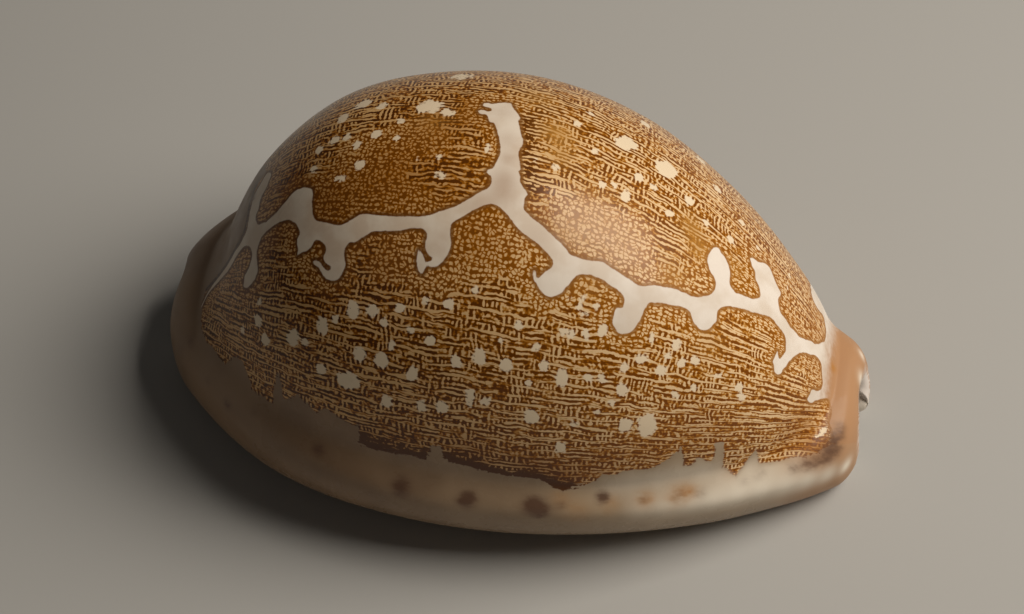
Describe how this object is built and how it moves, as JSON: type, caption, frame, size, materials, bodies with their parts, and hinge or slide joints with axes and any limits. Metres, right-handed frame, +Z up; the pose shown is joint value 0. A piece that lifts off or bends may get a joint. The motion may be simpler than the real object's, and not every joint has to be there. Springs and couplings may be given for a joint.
{
  "type": "cowrie shell",
  "caption": "Egg-shaped cowrie shell: a glossy hollow dome over a flatter base, open below in a long curved slit that runs out at both ends.",
  "frame": {"origin": "on the surface that the shell rests on, under the centre of its box", "axes": "+X towards the narrow front end, along the shell's length; +Z up, away from the base; -Y towards the outer lip's side"},
  "size_m": [0.0792, 0.0516, 0.0412],
  "materials": {
    "shell": "gloss"
  },
  "bodies": {
    "root": {"shell": "shell"}
  },
  "joints": []
}
